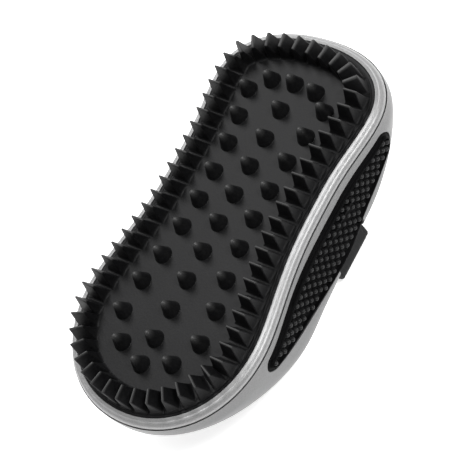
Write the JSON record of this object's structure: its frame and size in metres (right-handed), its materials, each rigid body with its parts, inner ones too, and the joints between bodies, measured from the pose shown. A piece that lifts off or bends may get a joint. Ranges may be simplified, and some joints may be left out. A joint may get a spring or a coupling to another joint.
{
  "type": "rubber curry brush",
  "caption": "Palm-held grooming brush: rubber pad with massage cones inside a ring of wedge teeth, waisted silver housing, studded rubber side grips and an elastic strap across the back.",
  "frame": {"origin": "on the resting plane under the middle of the bounding box; the brush lies on its back with the teeth up", "axes": "+X along the brush towards its narrow end, +Y across it, +Z towards the teeth"},
  "size_m": [0.1349, 0.0722, 0.0402],
  "materials": {
    "pad_rubber": "satin moulded rubber",
    "grip_rubber": "matte studded rubber",
    "silver_plastic": "satin silver paint with fine metallic grain",
    "carrier_plastic": "moulded black plastic",
    "strap_webbing": "woven elastic webbing",
    "fastener_steel": "zinc plated"
  },
  "bodies": {
    "root": {"curry_pad": "pad_rubber", "pad_carrier": "carrier_plastic", "bezel_ring": "silver_plastic", "back_shell": "silver_plastic", "grip_left": "grip_rubber", "grip_right": "grip_rubber", "strap_clamp_left": "fastener_steel", "strap_clamp_right": "fastener_steel", "clamp_screws": "fastener_steel", "carrier_screws": "fastener_steel"},
    "strap": {"hand_strap": "strap_webbing"}
  },
  "joints": [
    {"name": "strap_stretch", "type": "slide", "parent": "root", "child": "strap", "axis": [0, 0, -1], "range_m": [0, 0.016], "stiffness_N_per_m": 350, "deforming": ["hand_strap"]}
  ]
}
